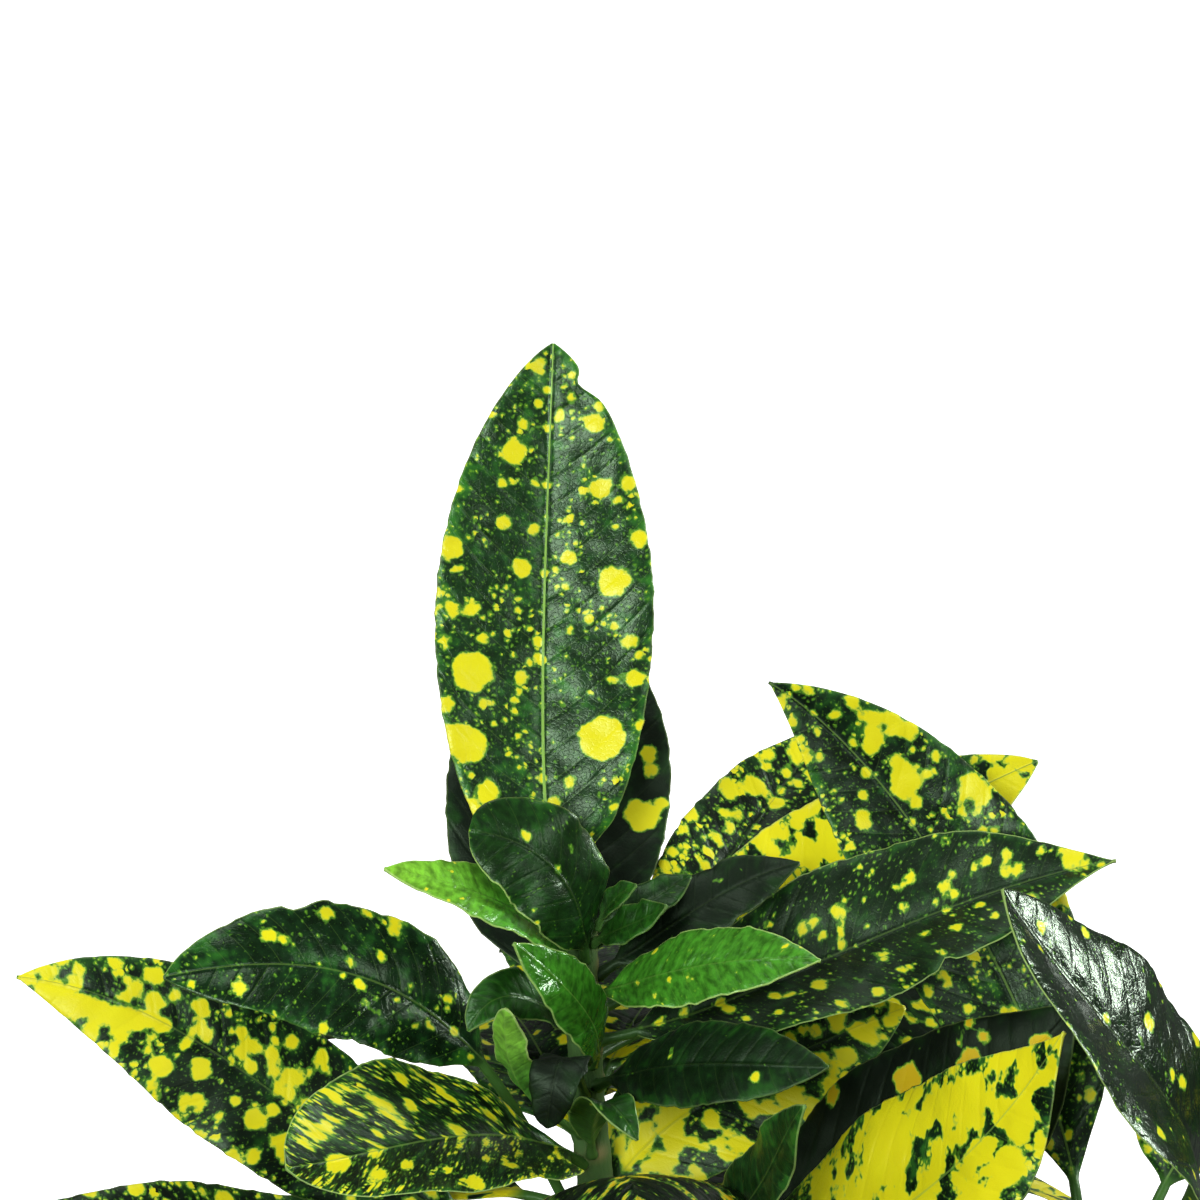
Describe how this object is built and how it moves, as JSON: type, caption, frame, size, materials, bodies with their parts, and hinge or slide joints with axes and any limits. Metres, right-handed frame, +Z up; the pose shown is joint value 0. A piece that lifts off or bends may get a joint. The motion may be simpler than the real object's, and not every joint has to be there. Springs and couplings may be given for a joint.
{
  "type": "potted croton",
  "caption": "Bushy indoor croton with glossy dark green leaves spotted and blotched in yellow, on woody stems in a filled round clay pot with a collar rim.",
  "frame": {"origin": "middle of the pot's foot, on the surface the pot stands on", "axes": "+Z up along the pot's axis, +X to the right and -Y towards the viewer in the picture"},
  "size_m": [0.3838, 0.2861, 0.4371],
  "materials": {
    "clay_pot": "matte",
    "potting_soil": "matte",
    "stem_bark": "matte",
    "old_leaf": "gloss",
    "young_leaf": "gloss"
  },
  "bodies": {
    "root": {"pot": "clay_pot", "soil": "potting_soil", "stem_main": "stem_bark", "stem_side": "stem_bark", "stem_rear": "stem_bark", "leaf_upright": "old_leaf", "leaf_upright_rear": "old_leaf", "leaf_young_curled": "young_leaf", "leaf_young_lime": "young_leaf", "leaf_young_glossy": "young_leaf", "leaf_young_bright": "young_leaf", "leaf_young_dark": "young_leaf", "leaf_right_long": "old_leaf", "leaf_right_yellow": "old_leaf", "leaf_right_back": "old_leaf", "leaf_right_hidden": "old_leaf", "leaf_young_slim": "young_leaf", "leaf_bud_tip": "young_leaf", "leaf_bud_back": "young_leaf", "leaf_bud_front": "young_leaf", "leaf_bud_left": "young_leaf", "leaf_bud_curled": "young_leaf", "leaf_bud_shaded": "young_leaf", "leaf_bud_low": "young_leaf", "leaf_left_upper": "old_leaf", "leaf_left_long": "old_leaf", "leaf_left_striped": "old_leaf", "leaf_left_low": "old_leaf", "leaf_front_striped": "old_leaf", "leaf_front_young": "old_leaf", "leaf_right_spotted": "old_leaf", "leaf_right_golden": "old_leaf", "leaf_right_dark": "old_leaf", "leaf_side_hooked": "old_leaf", "leaf_side_glossy": "old_leaf", "leaf_back_01": "old_leaf", "leaf_back_02": "old_leaf", "leaf_back_03": "old_leaf", "leaf_back_04": "old_leaf", "leaf_back_05": "old_leaf", "leaf_low_01": "old_leaf", "leaf_low_02": "old_leaf", "leaf_low_03": "old_leaf", "leaf_low_04": "old_leaf", "leaf_low_05": "old_leaf", "leaf_side_01": "old_leaf", "leaf_side_02": "old_leaf", "leaf_side_03": "old_leaf", "leaf_side_04": "old_leaf", "leaf_side_06": "old_leaf", "leaf_side_07": "old_leaf", "leaf_rear_01": "old_leaf", "leaf_rear_02": "old_leaf", "leaf_rear_03": "old_leaf", "leaf_rear_04": "old_leaf", "leaf_rear_05": "old_leaf", "leaf_rear_06": "old_leaf", "leaf_rear_07": "old_leaf", "leaf_rear_08": "old_leaf", "leaf_rear_09": "old_leaf"}
  },
  "joints": []
}
